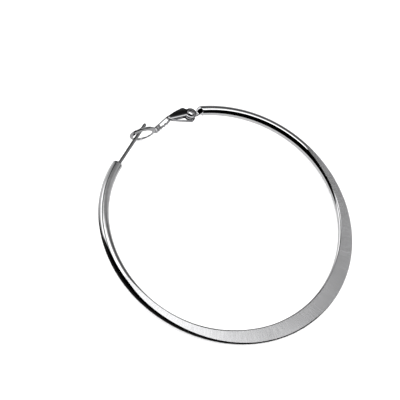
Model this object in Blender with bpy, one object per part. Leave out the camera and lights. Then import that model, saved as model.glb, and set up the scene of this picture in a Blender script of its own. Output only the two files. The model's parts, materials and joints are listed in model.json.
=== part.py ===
"""Hoop earring: a round steel wire hoop with a rolled flat crescent, an ear post and a clip lever.

The hoop is drawn lying in the XY plane round the origin, with the clasp at +Y and the middle of
the crescent at -Y, and is then laid on the surface as it rests by itself.
Run it with blender --background --python part.py
"""

import math

import bmesh
import bpy
from mathutils import Matrix, Vector

MM = 0.001

# Hoop wire: angles run anticlockwise from +X, from the post's end round to the hinge's end
HOOP_RADIUS = 25.0 * MM
WIRE_DIAMETER = 2.0 * MM
END_TUCK = 0.5 * MM
END_TUCK_SPAN = math.radians(35.0)
END_CHAMFER = 0.15 * MM

# Crescent: the lower wire rolled wider in the hoop's plane, and as much thinner across it
CRESCENT_ANGLE = math.radians(270.0)
CRESCENT_WIDTH = 3.5 * MM
CRESCENT_HALF_SPAN = math.radians(88.0)
CRESCENT_PLATEAU = math.radians(6.0)

# Clasp's place: the rivet stands a little inside the hoop, and the wire stops short of it both ways
HINGE_ANGLE = math.radians(58.0)
HINGE_INSET = 0.5 * MM
HINGE_TO_NECK_END = 2.6 * MM
HINGE_TO_POST_END = 20.6 * MM
HINGE_END_ANGLE = HINGE_ANGLE - HINGE_TO_NECK_END / HOOP_RADIUS
POST_END_ANGLE = HINGE_ANGLE + HINGE_TO_POST_END / HOOP_RADIUS

# Ear post, soldered into the wire's end in a small collar, aimed through the ring and past it
POST_DIAMETER = 0.72 * MM
POST_SPUR = 2.8 * MM
POST_INSET = 0.25 * MM
POST_CROSSING = 0.65
COLLAR_DIAMETER = 1.24 * MM
COLLAR_LENGTH = 0.5 * MM

# Hinge: a rivet through the wire's flattened ear and the two flanges of the lever
EAR_DIAMETER = 2.1 * MM
EAR_THICKNESS = 0.56 * MM
EAR_NECK_HEIGHT = 1.08 * MM
EAR_NECK_DROP = 0.3 * MM
SHANK_DIAMETER = 0.7 * MM
RIVET_HEAD_DIAMETER = 1.44 * MM
RIVET_HEAD_HEIGHT = 0.26 * MM

# Named clearances
HINGE_PLAY = 0.1 * MM
SIDE_PLAY = 0.1 * MM
HEAD_GAP = 0.1 * MM

# Lever: a sheet channel with its back outward, a pierced neck and a flared ring over the post.
# Its X runs from the rivet toward the post's end of the wire, its Y outward.
SHEET = 0.26 * MM
SHEET_EDGE_BEVEL = 0.08 * MM
FLANGE_END_DIAMETER = 2.4 * MM
CHANNEL_LENGTH = 4.63 * MM
CHANNEL_HEIGHT = 2.25 * MM
NECK_LENGTH = 3.86 * MM
NECK_DEPTH = 1.1 * MM
NECK_WIDTH = 1.2 * MM
NECK_RAIL = 0.18 * MM

# Side outline of the channel, as shares of its length and height
CHANNEL_OUTLINE = (
    ("back at the neck", 1.000, 1.000),
    ("back over the middle", 0.553, 1.009),
    ("thumb corner", 0.108, 0.901),
    ("inside the flange's round end", -0.036, 0.415),
    ("under the rivet", 0.194, -0.036),
    ("lower edge at the neck", 0.975, 0.580),
)

# Side outline of the neck, as shares of its length and of its depth about its centre line
NECK_LEVEL = 0.738
NECK_OUTLINE = (
    ("back at the channel", -0.040, 0.50),
    ("back at the ring", 0.939, 0.52),
    ("end on the ring", 1.045, 0.27),
    ("lower end on the ring", 1.036, -0.25),
    ("lower edge at the ring", 0.940, -0.38),
    ("lower edge at the channel", -0.083, -0.52),
)
NECK_WINDOWS = (
    ("long window", -0.097, 0.635),
    ("short window", 0.699, 0.840),
)

# Ring: an oval with its hole over the post and its rim flared outward, away from the ear
RING_ROOT_HEIGHT = 1.19 * MM
RING_TILT = math.radians(23.6)
RING_LENGTH = 5.4 * MM
RING_WIDTH = 5.5 * MM
RING_TIP_LIP = 0.6 * MM
RING_ROOT_LIP = 0.75 * MM
RING_SIDE_LIP = 0.8 * MM
RING_FLARE = 0.3 * MM
RING_SHEET = 0.36 * MM

# Leaf spring: one strip folded back on itself under the channel, bearing beneath the ear
SPRING_THICKNESS = 0.18 * MM
SPRING_WIDTH = 0.56 * MM

# Shares of the channel's length and height
SPRING_IN_CHANNEL = (
    ("upper leaf's end", 0.344, 0.165),
    ("upper leaf at the fold", 0.846, 0.596),
    ("back of the fold", 0.870, 0.508),
    ("lower leaf at the fold", 0.838, 0.428),
)

# Shares of the ear's diameter
SPRING_UNDER_EAR = (
    ("lower leaf under the ear", 0.280, -0.715),
    ("turned-up tip", -0.067, -0.616),
)

# Facets
WIRE_SIDES = 20
WIRE_STEPS = 120
ROUND_SIDES = 24
RING_SIDES = 40

STEEL = (0.62, 0.62, 0.63, 1.0)

Z_AXIS = Vector((0.0, 0.0, 1.0))


def clear_scene():
    for old in list(bpy.data.objects):
        bpy.data.objects.remove(old, do_unlink=True)


def steel_material(name, roughness):
    material = bpy.data.materials.new(name)
    material.use_nodes = True
    shader = material.node_tree.nodes["Principled BSDF"]
    shader.inputs["Base Color"].default_value = STEEL
    shader.inputs["Metallic"].default_value = 1.0
    shader.inputs["Roughness"].default_value = roughness
    return material


def add_object(name, bm, parent=None):
    """Turn a bmesh, drawn about the parent's own origin, into an object."""
    bmesh.ops.recalc_face_normals(bm, faces=bm.faces)
    mesh = bpy.data.meshes.new(name)
    bm.to_mesh(mesh)
    bm.free()
    obj = bpy.data.objects.new(name, mesh)
    bpy.context.collection.objects.link(obj)
    obj.parent = parent
    return obj


def skin_rings(bm, rings, closed=False):
    """Join rings of points with quads, and cap the two ends unless the rings close on themselves."""
    loops = [[bm.verts.new(point) for point in ring] for ring in rings]
    pairs = list(zip(loops, loops[1:]))
    if closed:
        pairs.append((loops[-1], loops[0]))
    for first, second in pairs:
        for k in range(len(first)):
            after = (k + 1) % len(first)
            bm.faces.new((first[k], first[after], second[after], second[k]))
    if not closed:
        bm.faces.new(loops[0])
        bm.faces.new(list(reversed(loops[-1])))


def prism(outline, half_width):
    """A solid between two copies of a plane outline, half_width to either side of the plane."""
    bm = bmesh.new()
    rings = [[Vector((x, y, z)) for x, y in outline] for z in (-half_width, half_width)]
    skin_rings(bm, rings)
    return bm


def disc(radius, half_width, centre=(0.0, 0.0)):
    angles = [2.0 * math.pi * k / ROUND_SIDES for k in range(ROUND_SIDES)]
    outline = [(centre[0] + radius * math.cos(a), centre[1] + radius * math.sin(a)) for a in angles]
    return prism(outline, half_width)


def scaled(rows, along, up):
    """The points of a table of shares."""
    return [(x * along, y * up) for _, x, y in rows]


def combine(obj, bm, operation, parent):
    """Unite, or cut with, the solid in bm, and keep the result as the object's own mesh."""
    apply_solid(obj, add_object("tool", bm, parent), operation)


def apply_solid(obj, tool, operation):
    """Unite, or cut with, another object, which is used up."""
    modifier = obj.modifiers.new("shape", "BOOLEAN")
    modifier.object = tool
    modifier.operation = operation
    modifier.solver = "EXACT"
    bpy.context.view_layer.update()
    evaluated = obj.evaluated_get(bpy.context.evaluated_depsgraph_get())
    mesh = bpy.data.meshes.new_from_object(evaluated)
    obj.modifiers.clear()
    obj.data = mesh
    bpy.data.objects.remove(tool, do_unlink=True)


def bevel_edges(obj, width, angle):
    modifier = obj.modifiers.new("soft edges", "BEVEL")
    modifier.width = width
    modifier.segments = 1
    modifier.limit_method = "ANGLE"
    modifier.angle_limit = angle
    bpy.context.view_layer.update()
    evaluated = obj.evaluated_get(bpy.context.evaluated_depsgraph_get())
    obj.data = bpy.data.meshes.new_from_object(evaluated)
    obj.modifiers.clear()


def finish_piece(obj, material):
    obj.data.name = obj.name
    obj.data.materials.clear()
    obj.data.materials.append(material)
    obj.data.shade_smooth()
    obj.data.set_sharp_from_angle(angle=math.radians(35.0))


# Hoop wire


def hoop_point(angle):
    """A point on the wire's centre line, drawn in a little toward the post's end."""
    from_end = min(1.0, (angle - POST_END_ANGLE) / END_TUCK_SPAN)
    radius = HOOP_RADIUS - END_TUCK * (1.0 - from_end) ** 2
    return Vector((radius * math.cos(angle), radius * math.sin(angle), 0.0))


def hoop_direction(angle):
    """The centre line's direction there, anticlockwise."""
    step = math.radians(0.1)
    return (hoop_point(angle + step) - hoop_point(angle)).normalized()


def wire_width(angle):
    """The wire's width in the hoop's plane, swelling to the crescent."""
    away = abs(angle - CRESCENT_ANGLE)
    share = max(0.0, away - CRESCENT_PLATEAU) / (CRESCENT_HALF_SPAN - CRESCENT_PLATEAU)
    swell = math.cos(min(1.0, share) * math.pi / 2.0) ** 2
    return WIRE_DIAMETER + (CRESCENT_WIDTH - WIRE_DIAMETER) * swell


def wire_thickness(width):
    """The thickness that keeps the round wire's area in a section with flat sides and round edges."""
    corner = 1.0 - math.pi / 4.0
    area = math.pi * WIRE_DIAMETER ** 2 / 4.0
    return (width - math.sqrt(width ** 2 - 4.0 * corner * area)) / (2.0 * corner)


def wire_section(centre, direction, width, thickness):
    """A ring of points: two half circles of the thickness, apart by what the width adds."""
    outward = direction.cross(Z_AXIS)
    spread = (width - thickness) / 2.0
    ring = []
    for k in range(WIRE_SIDES):
        turn = 2.0 * math.pi * (k + 0.5) / WIRE_SIDES
        across = thickness / 2.0 * math.cos(turn) + math.copysign(spread, math.cos(turn))
        ring.append(centre + outward * across + Z_AXIS * (thickness / 2.0 * math.sin(turn)))
    return ring


def post_sections():
    """Round sections from the post's tip down to the chamfered end of the wire."""
    outward = hoop_direction(POST_END_ANGLE).cross(Z_AXIS)
    end = hoop_point(POST_END_ANGLE)
    start = end - outward * POST_INSET
    crossing = lever_matrix() @ ring_line(POST_CROSSING)
    direction = (start - crossing).normalized()
    length = (start - crossing).length + POST_SPUR
    rows = (
        ("tip", length, 0.45 * POST_DIAMETER),
        ("tip's round", length - 0.15 * POST_DIAMETER, 0.80 * POST_DIAMETER),
        ("shank below the tip", length - 0.50 * POST_DIAMETER, POST_DIAMETER),
        ("shank above the collar", COLLAR_LENGTH, POST_DIAMETER),
        ("collar's slope", 0.45 * COLLAR_LENGTH, 0.75 * COLLAR_DIAMETER),
        ("collar on the wire's end", 0.0, COLLAR_DIAMETER),
    )
    sections = [wire_section(start - direction * ahead, direction, size, size) for _, ahead, size in rows]
    face = WIRE_DIAMETER - 2.0 * END_CHAMFER
    return sections + [wire_section(end, hoop_direction(POST_END_ANGLE), face, face)]


def ear_neck_sections():
    """Sections from the wire's hinge end, pinched to the neck that carries the ear."""
    start = hoop_point(HINGE_END_ANGLE + 2.0 * math.pi)
    toward = hinge_centre() - start
    reach = toward.length
    direction = toward.normalized()
    inward = Z_AXIS.cross(direction)
    rows = (
        ("shoulder", 0.08, 0.86 * WIRE_DIAMETER, 0.2),
        ("slope", 0.20, 1.25 * EAR_NECK_HEIGHT, 0.7),
        ("neck", 0.34, EAR_NECK_HEIGHT, 1.0),
        ("inside the ear", 0.75, EAR_NECK_HEIGHT, 0.8),
    )
    sections = []
    for _, ahead, size, drop in rows:
        thickness = min(size, 0.96 * EAR_THICKNESS)
        centre = start + direction * (reach * ahead) + inward * (EAR_NECK_DROP * drop)
        sections.append(wire_section(centre, direction, size, thickness))
    return sections


def hinge_centre():
    radius = HOOP_RADIUS - HINGE_INSET
    return Vector((radius * math.cos(HINGE_ANGLE), radius * math.sin(HINGE_ANGLE), 0.0))


def lever_matrix():
    """The lever's own frame: X toward the post's end of the wire, Y outward, Z the hinge's axis."""
    along = (hoop_point(POST_END_ANGLE) - hinge_centre()).normalized()
    outward = along.cross(Z_AXIS)
    turn = Matrix((along, outward, -Z_AXIS)).transposed().to_4x4()
    return Matrix.Translation(hinge_centre()) @ turn


def ring_line(share):
    """A point in the lever's frame on the ring's middle line, from its root at 0 to its tip at 1."""
    root = Vector((CHANNEL_LENGTH + NECK_LENGTH, RING_ROOT_HEIGHT, 0.0))
    along = Vector((math.cos(RING_TILT), math.sin(RING_TILT), 0.0))
    return root + along * (RING_LENGTH * share)


def make_hoop_wire(parent, material):
    """Post, collar, wire, crescent, neck and ear: soldered metal, so one solid."""
    first = POST_END_ANGLE + END_CHAMFER / HOOP_RADIUS
    last = HINGE_END_ANGLE + 2.0 * math.pi
    sections = post_sections()
    for k in range(WIRE_STEPS + 1):
        angle = first + (last - first) * k / WIRE_STEPS
        width = wire_width(angle)
        sections.append(wire_section(hoop_point(angle), hoop_direction(angle), width, wire_thickness(width)))
    sections += ear_neck_sections()
    bm = bmesh.new()
    skin_rings(bm, sections)
    wire = add_object("hoop_wire", bm, parent)
    centre = hinge_centre()
    combine(wire, disc(EAR_DIAMETER / 2.0, EAR_THICKNESS / 2.0, centre), "UNION", parent)
    hole_radius = SHANK_DIAMETER / 2.0 + HINGE_PLAY
    combine(wire, disc(hole_radius, EAR_THICKNESS, centre), "DIFFERENCE", parent)
    finish_piece(wire, material)


# Clip lever, drawn in its own frame


def inner_half_width():
    return EAR_THICKNESS / 2.0 + SIDE_PLAY


def flange_half_width():
    return inner_half_width() + SHEET


def channel_outline():
    return scaled(CHANNEL_OUTLINE, CHANNEL_LENGTH, CHANNEL_HEIGHT)


def cavity_outline():
    """The channel's hollow: under its back, behind its neck wall, open below and at the hinge."""
    back = [(x, y - SHEET) for x, y in channel_outline()[:3]]
    wall = CHANNEL_LENGTH - SHEET
    open_end = -FLANGE_END_DIAMETER
    below = -1.5 * FLANGE_END_DIAMETER
    return [(wall, back[0][1]), back[1], back[2], (open_end, back[2][1]), (open_end, below), (wall, below)]


def height_along(start, end, x):
    """The height at x of the straight line between two points."""
    return start[1] + (end[1] - start[1]) * (x - start[0]) / (end[0] - start[0])


def neck_outline():
    start = NECK_LEVEL * CHANNEL_HEIGHT
    points = []
    for _, share, level in NECK_OUTLINE:
        middle = start + (RING_ROOT_HEIGHT - start) * share
        points.append((CHANNEL_LENGTH + NECK_LENGTH * share, middle + NECK_DEPTH * level))
    return points


def window_outline(first, last):
    """A window between two rails of the neck, following its edges."""
    outline = neck_outline()
    ends = [CHANNEL_LENGTH + NECK_LENGTH * share for share in (first, last)]
    lower = [(x, height_along(outline[5], outline[4], x) + NECK_RAIL) for x in ends]
    upper = [(x, height_along(outline[0], outline[1], x) - NECK_RAIL) for x in ends]
    return lower + list(reversed(upper))


def ring_section(turn):
    """The ring's sheet cut across its rim: a rounded bar, higher at the outer edge."""
    along = Vector((math.cos(RING_TILT), math.sin(RING_TILT), 0.0))
    out = Z_AXIS.cross(along)
    shift = (RING_ROOT_LIP - RING_TIP_LIP) / 2.0
    lip_mean = (RING_ROOT_LIP + RING_TIP_LIP) / 2.0
    outer = Vector((RING_LENGTH / 2.0 * math.cos(turn), RING_WIDTH / 2.0 * math.sin(turn)))
    hole = Vector((
        (RING_LENGTH / 2.0 - lip_mean) * math.cos(turn) + shift,
        (RING_WIDTH / 2.0 - RING_SIDE_LIP) * math.sin(turn),
    ))
    rows = (
        (0.00, -0.25), (0.00, 0.25), (0.15, 0.50), (0.85, 0.50),
        (1.00, 0.25), (1.00, -0.25), (0.85, -0.50), (0.15, -0.50),
    )
    points = []
    for share, level in rows:
        flat = hole.lerp(outer, share)
        rise = RING_FLARE * (share ** 2 - 1.0) + level * RING_SHEET
        points.append(ring_line(0.5) + along * flat.x + Z_AXIS * flat.y + out * rise)
    return points


def make_ring():
    turns = [2.0 * math.pi * k / RING_SIDES for k in range(RING_SIDES)]
    bm = bmesh.new()
    skin_rings(bm, [ring_section(turn) for turn in turns], closed=True)
    return bm


def make_clip_lever(parent, material):
    flange = flange_half_width()
    lever = add_object("clip_lever", prism(channel_outline(), flange), parent)
    combine(lever, disc(FLANGE_END_DIAMETER / 2.0, flange), "UNION", parent)
    bevel_edges(lever, SHEET_EDGE_BEVEL, math.radians(60.0))
    combine(lever, prism(cavity_outline(), inner_half_width()), "DIFFERENCE", parent)
    neck = add_object("neck", prism(neck_outline(), NECK_WIDTH / 2.0), parent)
    for _, first, last in NECK_WINDOWS:
        combine(neck, prism(window_outline(first, last), NECK_WIDTH), "DIFFERENCE", parent)
    apply_solid(lever, neck, "UNION")
    combine(lever, make_ring(), "UNION", parent)
    hole_radius = SHANK_DIAMETER / 2.0 + HINGE_PLAY
    combine(lever, disc(hole_radius, 2.0 * flange), "DIFFERENCE", parent)
    finish_piece(lever, material)


def make_hinge_rivet(parent, material):
    """A shank with two domed heads, turned round the hinge's axis."""
    seat = flange_half_width() + HEAD_GAP
    head = RIVET_HEAD_DIAMETER / 2.0
    half = (
        (SHANK_DIAMETER / 2.0, seat),
        (head, seat),
        (head, seat + 0.35 * RIVET_HEAD_HEIGHT),
        (0.80 * head, seat + 0.80 * RIVET_HEAD_HEIGHT),
        (0.40 * head, seat + RIVET_HEAD_HEIGHT),
    )
    profile = [(radius, -level) for radius, level in reversed(half)] + list(half)
    turns = [2.0 * math.pi * k / ROUND_SIDES for k in range(ROUND_SIDES)]
    rings = []
    for radius, level in profile:
        rings.append([Vector((radius * math.cos(t), radius * math.sin(t), level)) for t in turns])
    bm = bmesh.new()
    skin_rings(bm, rings)
    finish_piece(add_object("hinge_rivet", bm, parent), material)


def strip_outline(path, thickness):
    """The closed outline of a strip that follows a path of points."""
    sides = ([], [])
    for k, point in enumerate(path):
        before = path[max(k - 1, 0)]
        after = path[min(k + 1, len(path) - 1)]
        first = (point - before).normalized() if k else (after - point).normalized()
        second = (after - point).normalized() if k < len(path) - 1 else first
        middle = (first + second).normalized()
        normal = Vector((-middle.y, middle.x))
        reach = thickness / 2.0 / max(0.5, normal.dot(Vector((-first.y, first.x))))
        sides[0].append(point + normal * reach)
        sides[1].append(point - normal * reach)
    return sides[0] + list(reversed(sides[1]))


def make_leaf_spring(parent, material):
    path = scaled(SPRING_IN_CHANNEL, CHANNEL_LENGTH, CHANNEL_HEIGHT)
    path += scaled(SPRING_UNDER_EAR, EAR_DIAMETER, EAR_DIAMETER)
    path = [Vector(point) for point in path]
    bm = prism(strip_outline(path, SPRING_THICKNESS), SPRING_WIDTH / 2.0)
    finish_piece(add_object("leaf_spring", bm, parent), material)


# Rest pose


def resting_turn(points):
    """The turn that lays the hull of the points on its flat side under the hoop's middle."""
    bm = bmesh.new()
    for point in points:
        bm.verts.new(point)
    bmesh.ops.convex_hull(bm, input=bm.verts)
    bm.faces.ensure_lookup_table()
    bmesh.ops.recalc_face_normals(bm, faces=bm.faces)
    best = None
    for face in bm.faces:
        if face.normal.z > -0.9:
            continue
        corners = [vert.co for vert in face.verts]
        sides = []
        for k, corner in enumerate(corners):
            edge = corners[(k + 1) % len(corners)] - corner
            sides.append(edge.cross(-corner).z)
        if min(sides) >= 0.0 or max(sides) <= 0.0:
            best = face.normal.copy()
    bm.free()
    return best.rotation_difference(-Z_AXIS).to_matrix().to_4x4()


def world_points(objects):
    bpy.context.view_layer.update()
    return [obj.matrix_world @ vert.co for obj in objects for vert in obj.data.vertices]


def lay_down(frame, objects):
    """Turn the hoop to its rest, set it on Z = 0 and put the middle of its outline on the origin."""
    frame.matrix_world = resting_turn(world_points(objects))
    points = world_points(objects)
    lowest = Vector([min(point[k] for point in points) for k in range(3)])
    highest = Vector([max(point[k] for point in points) for k in range(3)])
    middle = (lowest + highest) / 2.0
    shift = Vector((-middle.x, -middle.y, -lowest.z))
    frame.matrix_world = Matrix.Translation(shift) @ frame.matrix_world


def add_empty(name, parent, matrix):
    empty = bpy.data.objects.new(name, None)
    bpy.context.collection.objects.link(empty)
    empty.parent = parent
    empty.matrix_local = matrix
    empty.empty_display_size = WIRE_DIAMETER
    return empty


def main():
    clear_scene()
    polished = steel_material("polished_steel", 0.08)
    sheet_steel = steel_material("lever_steel", 0.12)
    rivet_steel = steel_material("rivet_steel", 0.15)
    spring_steel = steel_material("spring_steel", 0.2)
    hoop_frame = add_empty("hoop_frame", None, Matrix.Identity(4))
    lever_hinge = add_empty("lever_hinge", hoop_frame, lever_matrix())
    make_hoop_wire(hoop_frame, polished)
    make_clip_lever(lever_hinge, sheet_steel)
    make_hinge_rivet(lever_hinge, rivet_steel)
    make_leaf_spring(lever_hinge, spring_steel)
    lay_down(hoop_frame, [obj for obj in bpy.data.objects if obj.type == "MESH"])


main()
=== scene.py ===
"""Hoop earring, dressed: finer meshes of the same forms, worked steel, a studio floor and light.

All pieces are drawn as in the part's source, in the hoop's own frame or the lever's, and then laid
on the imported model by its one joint.
"""

import json
import math

import bmesh
import bpy
from mathutils import Matrix, Vector


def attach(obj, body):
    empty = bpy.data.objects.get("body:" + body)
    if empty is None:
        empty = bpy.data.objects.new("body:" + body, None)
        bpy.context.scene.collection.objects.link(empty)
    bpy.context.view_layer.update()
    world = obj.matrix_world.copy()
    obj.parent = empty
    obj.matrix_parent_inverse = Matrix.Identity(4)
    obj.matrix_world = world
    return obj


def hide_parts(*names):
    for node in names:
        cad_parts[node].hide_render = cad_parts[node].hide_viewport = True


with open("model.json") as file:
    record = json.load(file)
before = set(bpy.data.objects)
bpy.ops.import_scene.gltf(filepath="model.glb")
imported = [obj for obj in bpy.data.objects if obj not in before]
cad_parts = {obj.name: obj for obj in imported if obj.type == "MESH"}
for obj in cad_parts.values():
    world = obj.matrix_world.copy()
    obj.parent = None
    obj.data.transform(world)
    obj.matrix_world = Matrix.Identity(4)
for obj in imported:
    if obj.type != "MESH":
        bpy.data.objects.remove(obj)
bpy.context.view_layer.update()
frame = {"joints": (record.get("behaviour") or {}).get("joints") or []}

MM = 0.001
Z_AXIS = Vector((0.0, 0.0, 1.0))

# Hoop wire: angles run anticlockwise from +X, from the post's end round to the hinge's end
HOOP_RADIUS = 25.0 * MM
WIRE_DIAMETER = 2.0 * MM
END_TUCK = 0.5 * MM
END_TUCK_SPAN = math.radians(35.0)
END_ROUND = 0.2 * MM
HINGE_ANGLE = math.radians(58.0)
HINGE_INSET = 0.5 * MM
HINGE_END_ANGLE = HINGE_ANGLE - 2.6 * MM / HOOP_RADIUS
POST_END_ANGLE = HINGE_ANGLE + 20.6 * MM / HOOP_RADIUS

# Crescent, and the satin face ground on it
CRESCENT_ANGLE = math.radians(270.0)
CRESCENT_WIDTH = 3.5 * MM
CRESCENT_HALF_SPAN = math.radians(88.0)
CRESCENT_PLATEAU = math.radians(6.0)

# Post and collar
POST_DIAMETER = 0.72 * MM
POST_SPUR = 2.8 * MM
POST_INSET = 0.25 * MM
POST_CROSSING = 0.65
COLLAR_DIAMETER = 1.24 * MM
COLLAR_LENGTH = 0.5 * MM

# Hinge
EAR_DIAMETER = 2.1 * MM
EAR_THICKNESS = 0.56 * MM
EAR_NECK_HEIGHT = 1.08 * MM
EAR_NECK_DROP = 0.3 * MM
EAR_EASE = 0.06 * MM

# Neck between the wire and the ear, by shares of the way to the rivet: where it is thin,
# where it has bent inward, and where it ends inside the ear
NECK_THINS = 0.42
NECK_BENDS = 0.6
NECK_SETTLES = 0.75
SHANK_DIAMETER = 0.7 * MM
RIVET_HEAD_DIAMETER = 1.44 * MM
RIVET_HEAD_HEIGHT = 0.26 * MM
PLAY = 0.1 * MM

# Lever, in its own frame: X toward the post's end of the wire, Y outward
SHEET = 0.26 * MM
FLANGE_END_DIAMETER = 2.4 * MM
CHANNEL_LENGTH = 4.63 * MM
CHANNEL_HEIGHT = 2.25 * MM
NECK_LENGTH = 3.86 * MM
NECK_DEPTH = 1.1 * MM
NECK_WIDTH = 1.2 * MM
NECK_RAIL = 0.18 * MM
BEND_ROUND = 0.26 * MM
SHEET_ROUND = 0.05 * MM
RING_EDGE_ROUND = 0.22

# Flanges: how far their edges are rounded inward and down, and how their two sides lean
EDGE_REACH = 0.45 * MM
EDGE_DROP = 0.17 * MM
FLANGE_LEAN = math.radians(6.0)
HOLLOW_LEAN = math.radians(2.0)

# Outlines by shares of the lengths above, and the rounding at the corners of the channel
CHANNEL_OUTLINE = (
    (1.000, 1.000), (0.553, 1.009), (0.108, 0.901),
    (-0.036, 0.415), (0.194, -0.036), (0.975, 0.580),
)
CHANNEL_ROUNDS = (0.0, 0.3 * MM, 0.5 * MM, 0.6 * MM, 4.0 * MM, 0.5 * MM, 0.3 * MM, 0.0)
NECK_LEVEL = 0.738
NECK_OUTLINE = (
    (-0.040, 0.50), (0.939, 0.52), (1.045, 0.27),
    (1.036, -0.25), (0.940, -0.38), (-0.083, -0.52),
)
NECK_WINDOWS = ((-0.097, 0.635), (0.699, 0.840))
NECK_BEADS = (0.12, 0.34, 0.56, 0.74, 0.90)
BEAD_DIAMETER = 0.42 * MM
RING_ROOT_HEIGHT = 1.19 * MM
RING_TILT = math.radians(23.6)
RING_LENGTH = 5.4 * MM
RING_WIDTH = 5.5 * MM
RING_TIP_LIP = 0.6 * MM
RING_ROOT_LIP = 0.75 * MM
RING_SIDE_LIP = 0.8 * MM
RING_FLARE = 0.3 * MM
RING_SHEET = 0.36 * MM

# Leaf spring: shares of the channel's length and height, then of the ear's diameter
SPRING_THICKNESS = 0.18 * MM
SPRING_WIDTH = 0.56 * MM
SPRING_BEND = 0.14 * MM
SPRING_ROUND = 0.03 * MM
SPRING_IN_CHANNEL = ((0.344, 0.165), (0.846, 0.596), (0.870, 0.508), (0.838, 0.428))
SPRING_UNDER_EAR = ((0.280, -0.715), (-0.067, -0.616))

# Fineness
ARC_STEPS = 26
FACE_STEPS = 4
WIRE_STEPS = 480
NECK_STEPS = 30
RING_STEPS = 96
ROUND_SIDES = 64

# View, in the hoop's own frame
TO_CAMERA = Vector((-0.471, -0.117, 0.874)).normalized()
CAMERA_UP = Vector((0.608, 0.674, 0.418))
CAMERA_DISTANCE = 3.5
VIEW_WIDTH = 80.0 * MM
VIEW_SHIFT = (-4.86 * MM, 4.72 * MM)


# Meshes


def add_object(name, bm, matrix, *materials):
    bmesh.ops.recalc_face_normals(bm, faces=bm.faces)
    mesh = bpy.data.meshes.new(name)
    bm.to_mesh(mesh)
    bm.free()
    obj = bpy.data.objects.new(name, mesh)
    bpy.context.scene.collection.objects.link(obj)
    obj.matrix_world = matrix
    for material in materials:
        mesh.materials.append(material)
    return obj


def skin_rings(rings, closed=False):
    """Join rings of points with quads, and cap the two ends unless the rings close on themselves."""
    bm = bmesh.new()
    loops = [[bm.verts.new(point) for point in ring] for ring in rings]
    pairs = list(zip(loops, loops[1:]))
    if closed:
        pairs.append((loops[-1], loops[0]))
    for first, second in pairs:
        for k in range(len(first)):
            after = (k + 1) % len(first)
            bm.faces.new((first[k], first[after], second[after], second[k]))
    if not closed:
        bm.faces.new(loops[0])
        bm.faces.new(list(reversed(loops[-1])))
    return bm


def prism(outline, half_width):
    rings = [[Vector((x, y, z)) for x, y in outline] for z in (-half_width, half_width)]
    return skin_rings(rings)


def disc(radius, half_width):
    turns = [2.0 * math.pi * k / ROUND_SIDES for k in range(ROUND_SIDES)]
    return prism([(radius * math.cos(t), radius * math.sin(t)) for t in turns], half_width)


def turned(profile, closed=False):
    """A solid turned round the Z axis from (radius, height) points."""
    turns = [2.0 * math.pi * k / ROUND_SIDES for k in range(ROUND_SIDES)]
    rings = []
    for radius, height in profile:
        rings.append([Vector((radius * math.cos(t), radius * math.sin(t), height)) for t in turns])
    return skin_rings(rings, closed)


def scaled(rows, along, up):
    return [(x * along, y * up) for x, y in rows]


def rounded(points, radius, steps=5, closed=True):
    """The same outline with each corner drawn as an arc; radius is one value or one for each point."""
    result = []
    count = len(points)
    radii = radius if isinstance(radius, (list, tuple)) else [radius] * count
    for k in range(count):
        corner = Vector(points[k])
        if not closed and k in (0, count - 1):
            result.append(corner)
            continue
        to_before = Vector(points[k - 1]) - corner
        to_after = Vector(points[(k + 1) % count]) - corner
        half = to_before.angle(to_after) / 2.0
        reach = min(radii[k] / math.tan(half), 0.45 * to_before.length, 0.45 * to_after.length)
        start = corner + to_before.normalized() * reach
        end = corner + to_after.normalized() * reach
        for step in range(steps + 1):
            share = step / steps
            first = start.lerp(corner, share)
            second = corner.lerp(end, share)
            result.append(first.lerp(second, share))
    return result


def apply_modifier(obj, kind, **settings):
    modifier = obj.modifiers.new("shape", kind)
    for key, value in settings.items():
        setattr(modifier, key, value)
    bpy.context.view_layer.update()
    evaluated = obj.evaluated_get(bpy.context.evaluated_depsgraph_get())
    mesh = bpy.data.meshes.new_from_object(evaluated)
    obj.modifiers.clear()
    obj.data = mesh


def cut(obj, bm):
    tool = add_object("tool", bm, obj.matrix_world)
    apply_modifier(obj, "BOOLEAN", object=tool, operation="DIFFERENCE", solver="EXACT")
    bpy.data.objects.remove(tool, do_unlink=True)


def soften(obj, width, angle, segments=2):
    limit = math.radians(angle)
    apply_modifier(
        obj, "BEVEL", width=width, segments=segments, limit_method="ANGLE", angle_limit=limit
    )


def finish_piece(obj, body, sharp=30.0):
    obj.data.transform(obj.matrix_world)
    obj.matrix_world = Matrix.Identity(4)
    if sharp is not None:
        obj.data.shade_smooth()
        obj.data.set_sharp_from_angle(angle=math.radians(sharp))
    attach(obj, body)


# Hoop wire


def hoop_point(angle):
    from_end = min(1.0, (angle - POST_END_ANGLE) / END_TUCK_SPAN)
    radius = HOOP_RADIUS - END_TUCK * (1.0 - from_end) ** 2
    return Vector((radius * math.cos(angle), radius * math.sin(angle), 0.0))


def hoop_direction(angle):
    step = math.radians(0.1)
    return (hoop_point(angle + step) - hoop_point(angle)).normalized()


def wire_width(angle):
    away = abs(angle - CRESCENT_ANGLE)
    share = max(0.0, away - CRESCENT_PLATEAU) / (CRESCENT_HALF_SPAN - CRESCENT_PLATEAU)
    swell = math.cos(min(1.0, share) * math.pi / 2.0) ** 2
    return WIRE_DIAMETER + (CRESCENT_WIDTH - WIRE_DIAMETER) * swell


def wire_thickness(width):
    corner = 1.0 - math.pi / 4.0
    area = math.pi * WIRE_DIAMETER ** 2 / 4.0
    return (width - math.sqrt(width ** 2 - 4.0 * corner * area)) / (2.0 * corner)


def table_value(rows, x):
    """A smooth value between the rows of a table of (place, value)."""
    if x <= rows[0][0]:
        return rows[0][1]
    for (x0, y0), (x1, y1) in zip(rows, rows[1:]):
        if x <= x1:
            share = (x - x0) / (x1 - x0)
            return y0 + (y1 - y0) * share * share * (3.0 - 2.0 * share)
    return rows[-1][1]


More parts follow.
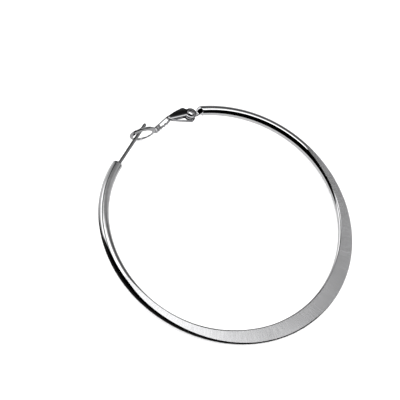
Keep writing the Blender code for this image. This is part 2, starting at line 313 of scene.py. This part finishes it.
# By degrees round the hoop: depth of the ground face on its inner side in mm, how far the wire
# swells inward in mm, and the face's tilt outward in degrees
FACE_DEPTH = (
    (164.0, 0.0), (186.0, 0.11), (215.0, 0.03), (325.0, 0.02),
    (345.0, 0.11), (353.0, 0.08), (362.0, 0.0),
)
INNER_SWELL = ((225.0, 0.17), (252.0, 0.0))
FACE_TILT = (
    (160.0, 6.0), (200.0, 6.0), (228.0, 4.2), (243.0, 3.4), (262.0, 1.8),
    (295.0, 4.0), (330.0, 2.6), (345.0, 3.0), (362.0, 6.0),
)

# Degrees that the face may span, and the least depth in mm for its material and for a sharp edge
FACE_SPAN = (160.0, 367.0)
FACE_LEAST = 0.004
EDGE_LEAST = 0.01


def section_points(width, thickness, tilt=0.0, depth=0.0):
    """Points (across, up) round the wire: outer arc, ground face, inner arc."""
    radius = thickness / 2.0
    spread = (width - thickness) / 2.0
    least = math.radians(1.0)
    cut_depth = depth + 2.0 * spread * math.sin(tilt)
    outer_half = max(least, math.acos((radius - cut_depth) / radius))
    inner_half = max(least, math.acos(min(1.0, (radius - depth) / radius)))
    top = math.pi / 2.0 - tilt
    first = -math.pi / 2.0 + least
    last = 3.0 * math.pi / 2.0 - least
    points = []
    for k in range(ARC_STEPS + 1):
        turn = first + (top - outer_half - first) * k / ARC_STEPS
        points.append((spread + radius * math.cos(turn), radius * math.sin(turn)))
    inner = []
    for k in range(ARC_STEPS + 1):
        turn = top + inner_half + (last - top - inner_half) * k / ARC_STEPS
        inner.append((radius * math.cos(turn) - spread, radius * math.sin(turn)))
    start, end = Vector(points[-1]), Vector(inner[0])
    points += [tuple(start.lerp(end, k / FACE_STEPS)) for k in range(1, FACE_STEPS)]
    return points + inner


def place_section(points, centre, direction):
    outward = direction.cross(Z_AXIS)
    return [centre + outward * across + Z_AXIS * up for across, up in points]


def wire_ring(angle, width, thickness, tilt=0.0, depth=0.0):
    swell = table_value(INNER_SWELL, math.degrees(angle)) * MM
    direction = hoop_direction(angle)
    centre = hoop_point(angle) - direction.cross(Z_AXIS) * (swell / 2.0)
    return place_section(section_points(width + swell, thickness, tilt, depth), centre, direction)


def wire_sections():
    """(angle, ring of points) from the post's end to the hinge's end."""
    sections = []
    for k in range(5):
        turn = math.pi / 2.0 * k / 4.0
        ahead = END_ROUND * (1.0 - math.cos(turn))
        size = WIRE_DIAMETER - 2.0 * END_ROUND * (1.0 - math.sin(turn))
        angle = POST_END_ANGLE + ahead / HOOP_RADIUS
        sections.append((angle, wire_ring(angle, size, size)))
    first = POST_END_ANGLE + END_ROUND / HOOP_RADIUS
    last = HINGE_END_ANGLE + 2.0 * math.pi
    for k in range(1, WIRE_STEPS + 1):
        angle = first + (last - first) * k / WIRE_STEPS
        width = wire_width(angle)
        degrees = math.degrees(angle)
        tilt = math.radians(table_value(FACE_TILT, degrees))
        depth = table_value(FACE_DEPTH, degrees) * MM
        sections.append((angle, wire_ring(angle, width, wire_thickness(width), tilt, depth)))
    return sections


def smooth_share(value):
    value = min(1.0, max(0.0, value))
    return value * value * (3.0 - 2.0 * value)


def ear_neck_sections():
    """The wire's hinge end, which thins to a flat neck as it bends inward to the rivet."""
    end_angle = HINGE_END_ANGLE + 2.0 * math.pi
    start, along = hoop_point(end_angle), hoop_direction(end_angle)
    inward = Z_AXIS.cross(along)
    toward = hinge_centre() - start
    reach, dip = toward.dot(along), toward.dot(inward)
    settled = NECK_SETTLES * dip + EAR_NECK_DROP * 0.8
    sections = []
    for k in range(1, NECK_STEPS + 1):
        share = NECK_SETTLES * k / NECK_STEPS
        thinning = smooth_share(share / NECK_THINS)
        height = WIRE_DIAMETER + (EAR_NECK_HEIGHT - WIRE_DIAMETER) * thinning
        thickness = WIRE_DIAMETER + (0.96 * EAR_THICKNESS - WIRE_DIAMETER) * thinning
        bend = smooth_share(share / NECK_BENDS)
        centre = start + along * (reach * share) + inward * (settled * bend)
        slope = settled * (smooth_share((share + 0.01) / NECK_BENDS) - bend) / (0.01 * reach)
        direction = (along + inward * slope).normalized()
        ring = place_section(section_points(height, thickness), centre, direction)
        sections.append((end_angle + share * 0.1, ring))
    return sections


def make_wire(matrix, polished, satin):
    sections = wire_sections() + ear_neck_sections()
    bm = skin_rings([ring for _, ring in sections])
    face_first = ARC_STEPS
    face_last = ARC_STEPS + FACE_STEPS
    count = len(sections[0][1])
    uv = bm.loops.layers.uv.new("marks")
    bm.verts.index_update()
    for edge in bm.edges:
        rows = [divmod(vert.index, count) for vert in edge.verts]
        angle = max(sections[row][0] for row, _ in rows)
        depth = table_value(FACE_DEPTH, math.degrees(angle))
        along = rows[0][1] == rows[1][1] and rows[0][1] in (face_first, face_last)
        edge.smooth = not (along and depth > EDGE_LEAST)
    for face in bm.faces:
        face.smooth = True
        places = [divmod(vert.index, count) for vert in face.verts]
        angle = sum(sections[row][0] for row, _ in places) / len(places)
        columns = [column for _, column in places]
        on_face = min(columns) >= face_first and max(columns) <= face_last
        depth = table_value(FACE_DEPTH, math.degrees(angle))
        if on_face and FACE_SPAN[0] < math.degrees(angle) < FACE_SPAN[1] and depth > FACE_LEAST:
            face.material_index = 1
        for loop in face.loops:
            row, column = divmod(loop.vert.index, count)
            loop[uv].uv = (sections[row][0] * HOOP_RADIUS / MM, column * 0.1)
    wire = add_object("fine_wire", bm, matrix, polished, satin)
    finish_piece(wire, "hoop", sharp=None)
    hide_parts("hoop_wire")


def make_post(matrix, material):
    outward = hoop_direction(POST_END_ANGLE).cross(Z_AXIS)
    start = hoop_point(POST_END_ANGLE) - outward * POST_INSET
    crossing = lever_matrix() @ ring_line(POST_CROSSING)
    direction = (start - crossing).normalized()
    length = (start - crossing).length + POST_SPUR
    post, collar = POST_DIAMETER / 2.0, COLLAR_DIAMETER / 2.0
    profile = [(0.9 * collar, 0.5 * MM), (collar, 0.15 * MM)]
    for k in range(7):
        turn = math.pi / 2.0 * k / 6.0
        profile.append((post + (collar - post) * math.cos(turn), -COLLAR_LENGTH * 0.9 * math.sin(turn)))
    profile.append((post, -1.2 * COLLAR_LENGTH))
    profile.append((post, -(length - 0.5 * POST_DIAMETER)))
    for k in range(1, 6):
        turn = math.pi / 2.0 * k / 6.0
        profile.append((post * math.cos(turn), -(length - 0.5 * POST_DIAMETER) - post * math.sin(turn)))
    aim = Z_AXIS.rotation_difference(direction).to_matrix().to_4x4()
    obj = add_object("ear_post", turned(profile), matrix @ Matrix.Translation(start) @ aim, material)
    finish_piece(obj, "hoop", sharp=40.0)


def make_ear(matrix, material):
    outer, inner, half = EAR_DIAMETER / 2.0, SHANK_DIAMETER / 2.0 + PLAY, EAR_THICKNESS / 2.0
    corners = [(inner, -half), (outer, -half), (outer, half), (inner, half)]
    profile = rounded(corners, EAR_EASE, 3)
    place = matrix @ Matrix.Translation(hinge_centre())
    obj = add_object("hinge_ear", turned(profile, closed=True), place, material)
    finish_piece(obj, "hoop", sharp=40.0)


# Clip lever, in its own frame


def hinge_centre():
    radius = HOOP_RADIUS - HINGE_INSET
    return Vector((radius * math.cos(HINGE_ANGLE), radius * math.sin(HINGE_ANGLE), 0.0))


def lever_matrix():
    along = (hoop_point(POST_END_ANGLE) - hinge_centre()).normalized()
    outward = along.cross(Z_AXIS)
    turn = Matrix((along, outward, -Z_AXIS)).transposed().to_4x4()
    return Matrix.Translation(hinge_centre()) @ turn


def ring_line(share):
    root = Vector((CHANNEL_LENGTH + NECK_LENGTH, RING_ROOT_HEIGHT, 0.0))
    along = Vector((math.cos(RING_TILT), math.sin(RING_TILT), 0.0))
    return root + along * (RING_LENGTH * share)


def inner_half_width():
    return EAR_THICKNESS / 2.0 + PLAY


def flange_half_width():
    return inner_half_width() + SHEET


def on_circle(start, end, radius):
    """Where the line from start to end meets the circle round the origin."""
    step = end - start
    b = start.dot(step) / step.length_squared
    c = (start.length_squared - radius ** 2) / step.length_squared
    return start + step * (-b - math.sqrt(b * b - c))


def channel_side():
    """Side outline of the channel: points, and for each its share of the folded back, 0 to 1."""
    outline = [Vector(point) for point in scaled(CHANNEL_OUTLINE, CHANNEL_LENGTH, CHANNEL_HEIGHT)]
    radius = FLANGE_END_DIAMETER / 2.0
    upper = on_circle(outline[2], outline[3], radius)
    lower = on_circle(outline[5], outline[4], radius)
    first, last = math.atan2(upper.y, upper.x), math.atan2(lower.y, lower.x) + 2.0 * math.pi
    arc = []
    for k in range(1, 40):
        turn = first + (last - first) * k / 40.0
        arc.append(Vector((radius * math.cos(turn), radius * math.sin(turn))))
    corners = [arc[-1], lower, outline[5], outline[0], outline[1], outline[2], upper, arc[0]]
    straight = rounded(corners, CHANNEL_ROUNDS, 5, closed=False)[1:-1]
    points, bends = [], []
    for k, point in enumerate(straight):
        points.append(point)
        corner = k // 6
        share = k % 6 / 5.0
        bend = {0: 0.0, 1: 0.0, 2: share, 3: 1.0, 4: 1.0, 5: 1.0 - share}[corner]
        bends.append(bend)
    return points + arc, bends + [0.0] * len(arc)


def inset_points(points, reaches):
    """Each point of an anticlockwise outline moved inward by its own reach."""
    moved = []
    for k, point in enumerate(points):
        before = (point - points[k - 1]).normalized()
        after = (points[(k + 1) % len(points)] - point).normalized()
        middle = (before + after).normalized()
        inward = Vector((-middle.y, middle.x))
        spread = max(0.7, middle.dot(before))
        moved.append(point + inward * (reaches[k] / spread))
    return moved


def soft_slab(points, reaches, drops, half, lean, steps=5):
    """A round-edged slab of an outline, half wide each way at Y = 0 and less above it by lean."""
    layers = []
    for k in range(steps + 1):
        turn = math.pi / 2.0 * k / steps
        flat = inset_points(points, [reach * (1.0 - math.sin(turn)) for reach in reaches])
        layer = []
        for point, drop in zip(flat, drops):
            level = half - point.y * math.tan(lean) - drop * (1.0 - math.cos(turn))
            layer.append(Vector((point.x, point.y, level)))
        layers.append(layer)
    below = [[Vector((point.x, point.y, -point.z)) for point in ring] for ring in reversed(layers)]
    return skin_rings(layers + below)


def make_channel(matrix, material):
    points, bends = channel_side()
    half = flange_half_width()
    reaches = [EDGE_REACH + (BEND_ROUND - EDGE_REACH) * bend for bend in bends]
    drops = [EDGE_DROP + (BEND_ROUND - EDGE_DROP) * bend for bend in bends]
    slab = soft_slab(points, reaches, drops, half, FLANGE_LEAN)
    channel = add_object("lever_channel", slab, matrix, material)
    outline = scaled(CHANNEL_OUTLINE, CHANNEL_LENGTH, CHANNEL_HEIGHT)
    back = [Vector((x, y - SHEET)) for x, y in outline[:3]]
    wall = CHANNEL_LENGTH - SHEET
    open_end, below = -FLANGE_END_DIAMETER, -1.5 * FLANGE_END_DIAMETER
    hollow = [Vector((wall, back[0].y)), back[1], back[2], Vector((open_end, back[2].y))]
    hollow += [Vector((open_end, below)), Vector((wall, below))]
    slope = math.tan(HOLLOW_LEAN)
    sides = []
    for side in (-1.0, 1.0):
        sides.append([Vector((p.x, p.y, side * (inner_half_width() - p.y * slope))) for p in hollow])
    cut(channel, skin_rings(sides))
    cut(channel, disc(SHANK_DIAMETER / 2.0 + PLAY, 2.0 * half))
    finish_piece(channel, "clip")
    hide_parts("clip_lever")


def height_along(start, end, x):
    return start[1] + (end[1] - start[1]) * (x - start[0]) / (end[0] - start[0])


def neck_outline():
    start = NECK_LEVEL * CHANNEL_HEIGHT
    points = []
    for share, level in NECK_OUTLINE:
        middle = start + (RING_ROOT_HEIGHT - start) * share
        points.append((CHANNEL_LENGTH + NECK_LENGTH * share, middle + NECK_DEPTH * level))
    return points


def window_outline(first, last):
    outline = neck_outline()
    ends = [CHANNEL_LENGTH + NECK_LENGTH * share for share in (first, last)]
    lower = [(x, height_along(outline[5], outline[4], x) + NECK_RAIL) for x in ends]
    upper = [(x, height_along(outline[0], outline[1], x) - NECK_RAIL) for x in ends]
    return lower + list(reversed(upper))


def make_neck(matrix, material):
    neck = add_object("lever_neck", prism(neck_outline(), NECK_WIDTH / 2.0), matrix, material)
    for first, last in NECK_WINDOWS:
        cut(neck, prism(window_outline(first, last), NECK_WIDTH))
    soften(neck, SHEET_ROUND, 40.0)
    finish_piece(neck, "clip")
    outline = neck_outline()
    radius, half = BEAD_DIAMETER / 2.0, NECK_WIDTH / 2.0
    for k, share in enumerate(NECK_BEADS):
        x = CHANNEL_LENGTH + NECK_LENGTH * share
        place = Matrix.Translation((x, height_along(outline[5], outline[4], x) + 0.4 * radius, 0.0))
        ends = [(0.7 * radius, -1.1 * half), (0.7 * radius, 1.1 * half)]
        profile = [ends[0], (radius, -half), (radius, half), ends[1]]
        bead = add_object("neck_bead_%d" % (k + 1), turned(profile), matrix @ place, material)
        finish_piece(bead, "clip", sharp=50.0)


def ring_section(turn):
    along = Vector((math.cos(RING_TILT), math.sin(RING_TILT), 0.0))
    out = Z_AXIS.cross(along)
    shift = (RING_ROOT_LIP - RING_TIP_LIP) / 2.0
    lip_mean = (RING_ROOT_LIP + RING_TIP_LIP) / 2.0
    outer = Vector((RING_LENGTH / 2.0 * math.cos(turn), RING_WIDTH / 2.0 * math.sin(turn)))
    hole = Vector((
        (RING_LENGTH / 2.0 - lip_mean) * math.cos(turn) + shift,
        (RING_WIDTH / 2.0 - RING_SIDE_LIP) * math.sin(turn),
    ))
    rows = rounded([(0.0, -0.5), (0.0, 0.5), (1.0, 0.5), (1.0, -0.5)], RING_EDGE_ROUND, 3)
    points = []
    for share, level in rows:
        flat = hole.lerp(outer, share)
        rise = RING_FLARE * (share ** 2 - 1.0) + level * RING_SHEET
        points.append(ring_line(0.5) + along * flat.x + Z_AXIS * flat.y + out * rise)
    return points


def make_ring(matrix, material):
    turns = [2.0 * math.pi * k / RING_STEPS for k in range(RING_STEPS)]
    bm = skin_rings([ring_section(turn) for turn in turns], closed=True)
    ring = add_object("clasp_ring", bm, matrix, material)
    finish_piece(ring, "clip", sharp=40.0)


def make_rivet(matrix, material):
    seat = flange_half_width() + PLAY
    head, shank = RIVET_HEAD_DIAMETER / 2.0, SHANK_DIAMETER / 2.0
    half = [(shank, seat), (0.97 * head, seat), (head, seat + 0.15 * RIVET_HEAD_HEIGHT)]
    for k in range(1, 8):
        turn = math.pi / 2.0 * k / 8.0
        half.append((head * math.cos(turn), seat + RIVET_HEAD_HEIGHT * (0.15 + 0.85 * math.sin(turn))))
    profile = [(radius, -level) for radius, level in reversed(half)] + half
    rivet = add_object("fine_rivet", turned(profile), matrix, material)
    finish_piece(rivet, "clip", sharp=50.0)
    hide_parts("hinge_rivet")


def strip_outline(path, thickness):
    sides = ([], [])
    for k, point in enumerate(path):
        before = path[max(k - 1, 0)]
        after = path[min(k + 1, len(path) - 1)]
        first = (point - before).normalized() if k else (after - point).normalized()
        second = (after - point).normalized() if k < len(path) - 1 else first
        middle = (first + second).normalized()
        normal = Vector((-middle.y, middle.x))
        reach = thickness / 2.0 / max(0.5, normal.dot(Vector((-first.y, first.x))))
        sides[0].append(point + normal * reach)
        sides[1].append(point - normal * reach)
    return sides[0] + list(reversed(sides[1]))


def make_spring(matrix, material):
    path = scaled(SPRING_IN_CHANNEL, CHANNEL_LENGTH, CHANNEL_HEIGHT)
    path += scaled(SPRING_UNDER_EAR, EAR_DIAMETER, EAR_DIAMETER)
    path = rounded([Vector(point) for point in path], SPRING_BEND, 5, closed=False)
    strip = prism(strip_outline(path, SPRING_THICKNESS), SPRING_WIDTH / 2.0)
    spring = add_object("fine_spring", strip, matrix, material)
    soften(spring, SPRING_ROUND, 50.0)
    finish_piece(spring, "clip")
    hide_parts("leaf_spring")


# Materials: name, colour, roughness, how far it varies, scale of the marks in each direction,
# their depth, and whether the marks follow the wire
STEELS = (
    ("polished_wire", (0.68, 0.68, 0.69), 0.04, 0.015, (900.0, 900.0, 900.0), 0.001 * MM, False),
    ("satin_face", (0.62, 0.62, 0.63), 0.25, 0.02, (4.0, 3.0, 1.0), 0.012 * MM, True),
    # The lever's sheet has a darker colour than the wire: painted dark reflection, standing in for the
    # black that its flanges mirror
    ("pressed_sheet", (0.42, 0.42, 0.43), 0.07, 0.02, (2500.0, 700.0, 700.0), 0.001 * MM, False),
    ("turned_rivet", (0.58, 0.58, 0.59), 0.08, 0.03, (1500.0, 1500.0, 1500.0), 0.002 * MM, False),
    ("drawn_pin", (0.44, 0.44, 0.45), 0.08, 0.02, (900.0, 900.0, 5000.0), 0.002 * MM, False),
    # The spring's colour is darker than the other steel: painted shade of the hollow under the lever
    # where it lies
    ("rolled_strip", (0.30, 0.30, 0.31), 0.12, 0.04, (600.0, 600.0, 4000.0), 0.003 * MM, False),
)
BROAD_SCALE = 600.0
BROAD_ALONG_WIRE = 0.6
TINT_SPREAD = 0.04


class Nodes:
    """Short calls for building a node tree; each returns an output, apart from add."""

    def __init__(self, tree):
        self.tree = tree

    def add(self, kind, inputs=(), **settings):
        node = self.tree.nodes.new(kind)
        for key, value in settings.items():
            setattr(node, key, value)
        for key, value in dict(inputs).items():
            if isinstance(value, bpy.types.NodeSocket):
                self.tree.links.new(value, node.inputs[key])
            else:
                node.inputs[key].default_value = value
        return node

    def math(self, operation, first, second=0.0):
        return self.add("ShaderNodeMath", {0: first, 1: second}, operation=operation).outputs[0]

    def dot(self, first, second):
        node = self.add("ShaderNodeVectorMath", {0: first, 1: second}, operation="DOT_PRODUCT")
        return node.outputs["Value"]

    def length(self, x, y):
        squares = self.math("ADD", self.math("MULTIPLY", x, x), self.math("MULTIPLY", y, y))
        return self.math("SQRT", squares)

    def ramp(self, value, low, high, to_low=0.0, to_high=1.0):
        inputs = {"Value": value, 1: low, 2: high, 3: to_low, 4: to_high}
        return self.add("ShaderNodeMapRange", inputs, interpolation_type="SMOOTHSTEP").outputs[0]


def worked_steel(name, color, roughness, spread, marks, depth, uses_uv):
    """Metal with uneven gloss and fine marks; marks gives the noise's scale in each direction."""
    material = bpy.data.materials.new(name)
    material.use_nodes = True
    nodes = Nodes(material.node_tree)
    shader = material.node_tree.nodes["Principled BSDF"]
    shader.inputs["Metallic"].default_value = 1.0
    place = nodes.add("ShaderNodeTexCoord").outputs["UV" if uses_uv else "Object"]
    stretched = nodes.add("ShaderNodeMapping", {"Vector": place, "Scale": marks}).outputs[0]
    fine = nodes.add("ShaderNodeTexNoise", {"Vector": stretched, "Scale": 1.0, "Detail": 3.0}).outputs[0]
    scale = BROAD_ALONG_WIRE if uses_uv else BROAD_SCALE
    broad = nodes.add("ShaderNodeTexNoise", {"Vector": place, "Scale": scale, "Detail": 2.0}).outputs[0]
    links = material.node_tree.links
    low = [channel * (1.0 - TINT_SPREAD) for channel in color] + [1.0]
    high = [min(1.0, channel * (1.0 + TINT_SPREAD)) for channel in color] + [1.0]
    share = nodes.ramp(fine, 0.35, 0.65)
    tint = nodes.add("ShaderNodeMix", {"Factor": share, "A": low, "B": high}, data_type="RGBA")
    links.new(tint.outputs["Result"], shader.inputs["Base Color"])
    gloss = nodes.ramp(broad, 0.3, 0.7, roughness - spread, roughness + spread)
    links.new(gloss, shader.inputs["Roughness"])
    bump = nodes.add("ShaderNodeBump", {"Height": fine, "Strength": 0.5, "Distance": depth})
    links.new(bump.outputs[0], shader.inputs["Normal"])
    return material


# Stage


def az_mask(nodes, unit_x, unit_y, azimuth, half, soft):
    """1 within half a width of an azimuth, fading over soft degrees."""
    turn = math.radians(azimuth)
    toward = nodes.math("ADD", nodes.math("MULTIPLY", unit_x, math.cos(turn)),
                        nodes.math("MULTIPLY", unit_y, math.sin(turn)))
    low = math.cos(math.radians(min(180.0, half + soft)))
    high = math.cos(math.radians(max(0.0, half - soft)))
    return nodes.ramp(toward, low, high)


# Studio seen in the steel, by direction in the hoop's frame:
# azimuth, half width, its softness, lowest and highest elevation, their softness, brightness
STUDIO = (
    ("side light", 106.0, 20.0, 5.0, 12.0, 40.0, 4.0, 1.7),
    ("gap by the side light", 80.0, 27.0, 5.0, 44.0, 64.0, 4.0, 0.05),
    ("dark flag", 50.0, 20.0, 5.0, 0.0, 46.0, 5.0, 0.08),
    ("low dark flag", 285.0, 30.0, 6.0, -8.0, 52.0, 4.0, 0.06),
    ("grey screen", 10.0, 24.0, 7.0, 2.0, 50.0, 4.0, 0.09),
    ("overhead box", 8.0, 117.0, 6.0, 62.0, 91.0, 3.0, 1.9),
    ("dim edge of the overhead box", 10.0, 30.0, 6.0, 54.0, 66.0, 2.0, 0.30),
    ("black flag", 40.0, 15.0, 4.0, 46.0, 58.0, 3.0, 0.02),
    ("black wall", 189.0, 66.0, 3.0, -12.0, 82.0, 2.0, 0.0),
    ("wing of the black wall", 262.0, 24.0, 4.0, 35.0, 78.0, 4.0, 0.0),
    ("top of the black wall", 184.0, 100.0, 4.0, 77.0, 92.0, 2.0, 0.0),
)
STUDIO_BASE = 0.45
FLOOR_LIGHT = 2.1

# Dark card beside the hoop, seen in the steel alone: azimuth, half width and its softness,
# the radius where it begins and where it is full, and the floor's and the card's brightness
CARD = (202.0, 76.0, 14.0)
CARD_RADII = (25.6 * MM, 26.8 * MM)
CARD_LEVELS = (0.75, 0.01)
FLOOR_HALF = 3.0


def make_world(turn):
    world = bpy.data.worlds.new("studio")
    bpy.context.scene.world = world
    world.use_nodes = True
    world.cycles.sampling_method = "NONE"
    nodes = Nodes(world.node_tree)
    direction = nodes.add("ShaderNodeTexCoord").outputs["Generated"]
    axes = [turn.to_3x3().col[k] for k in range(3)]
    x, y, z = [nodes.dot(direction, axis) for axis in axes]
    length = nodes.math("MAXIMUM", nodes.length(x, y), 0.001)
    unit_x, unit_y = nodes.math("DIVIDE", x, length), nodes.math("DIVIDE", y, length)
    elevation = nodes.math("MULTIPLY", nodes.math("ARCSINE", z), 180.0 / math.pi)
    level = STUDIO_BASE
    for _, azimuth, half, soft, low, high, rise, brightness in STUDIO:
        mask = az_mask(nodes, unit_x, unit_y, azimuth, half, soft)
        mask = nodes.math("MULTIPLY", mask, nodes.ramp(elevation, low - rise, low + rise))
        mask = nodes.math("MULTIPLY", mask, nodes.ramp(elevation, high + rise, high - rise))
        mixed = nodes.add("ShaderNodeMix", {"Factor": mask, "A": level, "B": brightness})
        level = mixed.outputs["Result"]
    path = nodes.add("ShaderNodeLightPath")
    glossy = path.outputs["Is Glossy Ray"]
    light = nodes.add("ShaderNodeMix", {"Factor": glossy, "A": FLOOR_LIGHT, "B": level})
    strength = light.outputs["Result"]
    world.node_tree.links.new(strength, world.node_tree.nodes["Background"].inputs["Strength"])
    world.node_tree.nodes["Background"].inputs["Color"].default_value = (1.0, 1.0, 1.0, 1.0)


def make_floor(hoop_matrix):
    """A pale floor; the steel sees a dark card lying outside the hoop's left side."""
    half = FLOOR_HALF
    bm = bmesh.new()
    corners = [(-half, -half), (half, -half), (half, half), (-half, half)]
    bm.faces.new([bm.verts.new((x, y, 0.0)) for x, y in corners])
    material = bpy.data.materials.new("pale_floor")
    material.use_nodes = True
    material.cycles.emission_sampling = "NONE"
    tree = material.node_tree
    nodes = Nodes(tree)
    shader = tree.nodes["Principled BSDF"]
    shader.inputs["Roughness"].default_value = 0.9
    shader.inputs["Specular IOR Level"].default_value = 0.0
    place = nodes.add("ShaderNodeTexCoord").outputs["Object"]
    grain = nodes.add("ShaderNodeTexNoise", {"Vector": place, "Scale": 900.0, "Detail": 2.0}).outputs[0]
    shades = {"Factor": grain, "A": (0.93, 0.93, 0.93, 1.0), "B": (0.95, 0.95, 0.95, 1.0)}
    tint = nodes.add("ShaderNodeMix", shades, data_type="RGBA")
    tree.links.new(tint.outputs["Result"], shader.inputs["Base Color"])
    split = nodes.add("ShaderNodeSeparateXYZ", {"Vector": place})
    x, y = split.outputs[0], split.outputs[1]
    radius = nodes.length(x, y)
    unit_x, unit_y = nodes.math("DIVIDE", x, radius), nodes.math("DIVIDE", y, radius)
    card = az_mask(nodes, unit_x, unit_y, *CARD)
    card = nodes.math("MULTIPLY", card, nodes.ramp(radius, *CARD_RADII))
    plain, dark = CARD_LEVELS
    seen = nodes.add("ShaderNodeMix", {"Factor": card, "A": plain, "B": dark}).outputs["Result"]
    glow = nodes.add("ShaderNodeEmission", {"Strength": seen}).outputs[0]
    glossy = nodes.add("ShaderNodeLightPath").outputs["Is Glossy Ray"]
    mixed = nodes.add("ShaderNodeMixShader", {0: glossy, 1: shader.outputs[0], 2: glow})
    tree.links.new(mixed.outputs[0], tree.nodes["Material Output"].inputs["Surface"])
    centre = hoop_matrix.translation
    floor = add_object("floor", bm, Matrix.Translation((centre.x, centre.y, 0.0)), material)


def make_camera(hoop_matrix):
    right = CAMERA_UP.cross(TO_CAMERA).normalized()
    up = TO_CAMERA.cross(right).normalized()
    target = right * VIEW_SHIFT[0] + up * VIEW_SHIFT[1]
    data = bpy.data.cameras.new("camera")
    data.angle = 2.0 * math.atan(VIEW_WIDTH / 2.0 / CAMERA_DISTANCE)
    data.clip_start = 0.01
    camera = bpy.data.objects.new("camera", data)
    bpy.context.scene.collection.objects.link(camera)
    turn = Matrix((right, up, TO_CAMERA)).transposed().to_4x4()
    camera.matrix_world = hoop_matrix @ Matrix.Translation(target + TO_CAMERA * CAMERA_DISTANCE) @ turn
    bpy.context.scene.camera = camera


def main():
    joint = frame["joints"][0]
    normal = -Vector(joint["axis"])
    turn = Z_AXIS.rotation_difference(normal).to_matrix().to_4x4()
    centre = Vector(joint["pos_m"]) - turn.to_3x3() @ hinge_centre()
    hoop = Matrix.Translation(centre) @ turn
    lever = hoop @ lever_matrix()
    steel = {name: worked_steel(name, *values) for name, *values in STEELS}
    make_wire(hoop, steel["polished_wire"], steel["satin_face"])
    make_post(hoop, steel["drawn_pin"])
    make_ear(hoop, steel["polished_wire"])
    # channel, neck and ring share the sheet steel whose darker colour is painted dark reflection
    make_channel(lever, steel["pressed_sheet"])
    make_neck(lever, steel["pressed_sheet"])
    make_ring(lever, steel["pressed_sheet"])
    make_rivet(lever, steel["turned_rivet"])
    # the spring's darker colour is painted shade of the hollow it lies in
    make_spring(lever, steel["rolled_strip"])
    make_world(turn)
    make_floor(hoop)
    make_camera(hoop)
    bpy.context.scene.view_settings.view_transform = "Standard"


main()
